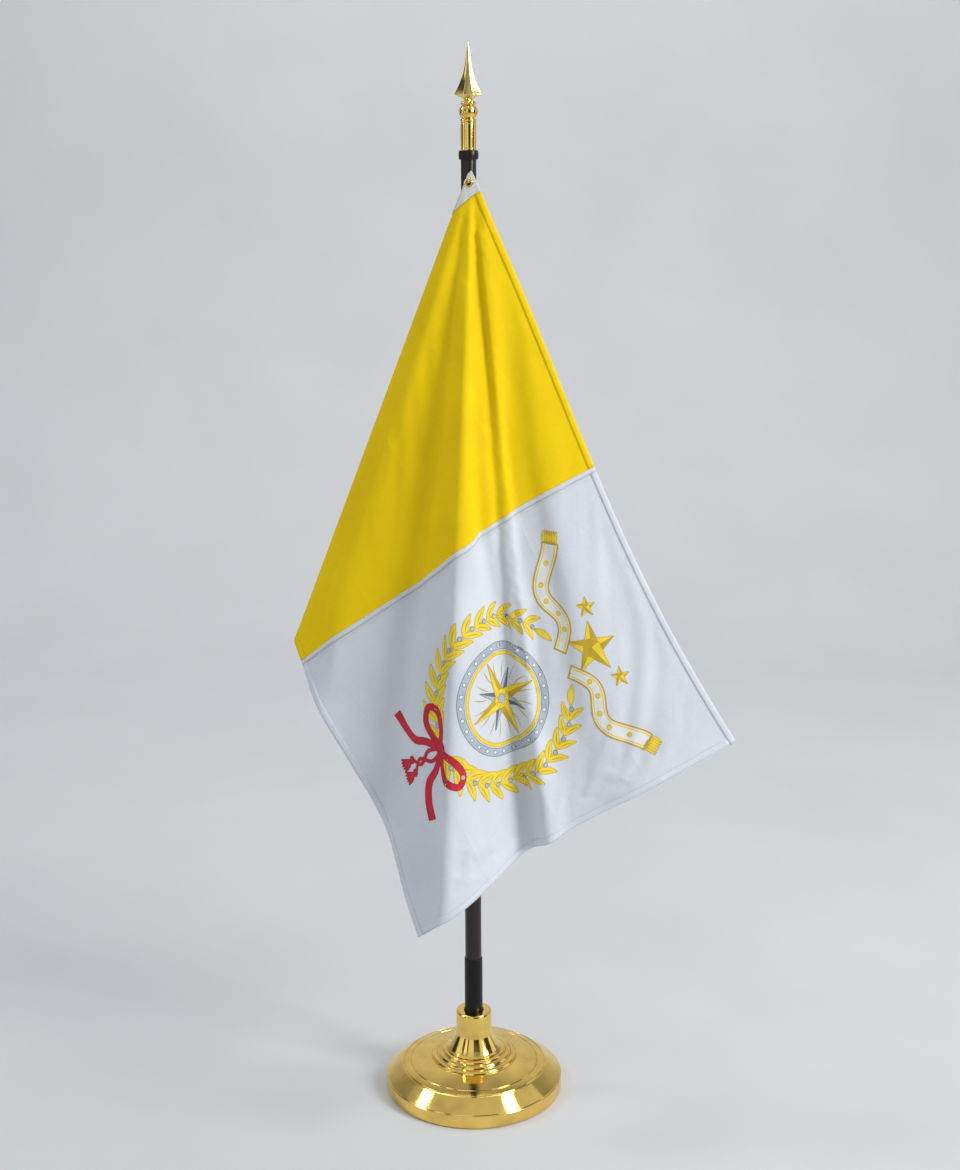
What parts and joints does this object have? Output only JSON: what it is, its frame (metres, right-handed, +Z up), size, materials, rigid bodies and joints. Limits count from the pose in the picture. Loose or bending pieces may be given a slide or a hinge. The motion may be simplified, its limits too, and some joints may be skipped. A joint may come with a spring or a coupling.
{
  "type": "desk flag stand",
  "caption": "Indoor flag stand: weighted round brass base with a neck socket, two-piece wooden pole, spear finial and a two-colour flag hung from hooks by its hoist.",
  "frame": {"origin": "middle of the base underside, on the pole axis", "axes": "+Z up along the pole, -Y towards the front where the flag hangs, +X to the right seen from the front"},
  "size_m": [0.647, 0.2811, 1.5745],
  "materials": {
    "felt": "felted",
    "steel": "zinc plated",
    "iron": "rough cast",
    "brass": "polished",
    "black_plastic": "satin",
    "dark_wood": "stained and varnished",
    "canvas": "woven canvas",
    "yellow_cloth": "woven polyester",
    "white_cloth": "woven polyester"
  },
  "bodies": {
    "base": {"felt_pad": "felt", "base_bottom_plate": "steel", "base_weight": "iron", "base_shell": "brass", "socket_neck": "brass", "clamp_washer": "steel", "clamp_nut": "steel"},
    "sleeve": {"pole_sleeve": "black_plastic"},
    "lower_pole": {"pole_lower": "dark_wood", "coupling_socket": "brass", "coupling_pin_lower": "steel"},
    "upper_pole": {"coupling_plug": "brass", "coupling_pin_upper": "steel", "pole_upper": "dark_wood", "top_collar": "black_plastic", "finial_insert": "brass", "hook_top": "brass", "hook_bottom": "brass", "grommet_top_eyelet": "brass", "grommet_top_washer": "brass", "grommet_bottom_eyelet": "brass", "grommet_bottom_washer": "brass", "flag_header": "canvas", "flag_yellow_panel": "yellow_cloth", "flag_white_panel": "white_cloth"},
    "finial": {"finial_stud": "steel", "finial_tube": "brass", "finial_ring": "brass", "finial_ball": "brass", "finial_bead": "brass", "finial_spear": "brass"}
  },
  "joints": [
    {"name": "pole_turn", "type": "hinge", "parent": "base", "child": "sleeve", "pos_m": [0, 0, 0.1], "axis": [0, 0, 1], "continuous": true},
    {"name": "pole_lift", "type": "slide", "parent": "sleeve", "child": "lower_pole", "axis": [0, 0, 1], "range_m": [0, 0.15]},
    {"name": "upper_lift", "type": "slide", "parent": "lower_pole", "child": "upper_pole", "axis": [0, 0, 1], "range_m": [0, 0.06]},
    {"name": "finial_lift", "type": "slide", "parent": "upper_pole", "child": "finial", "axis": [0, 0, 1], "range_m": [0, 0.04]}
  ]
}
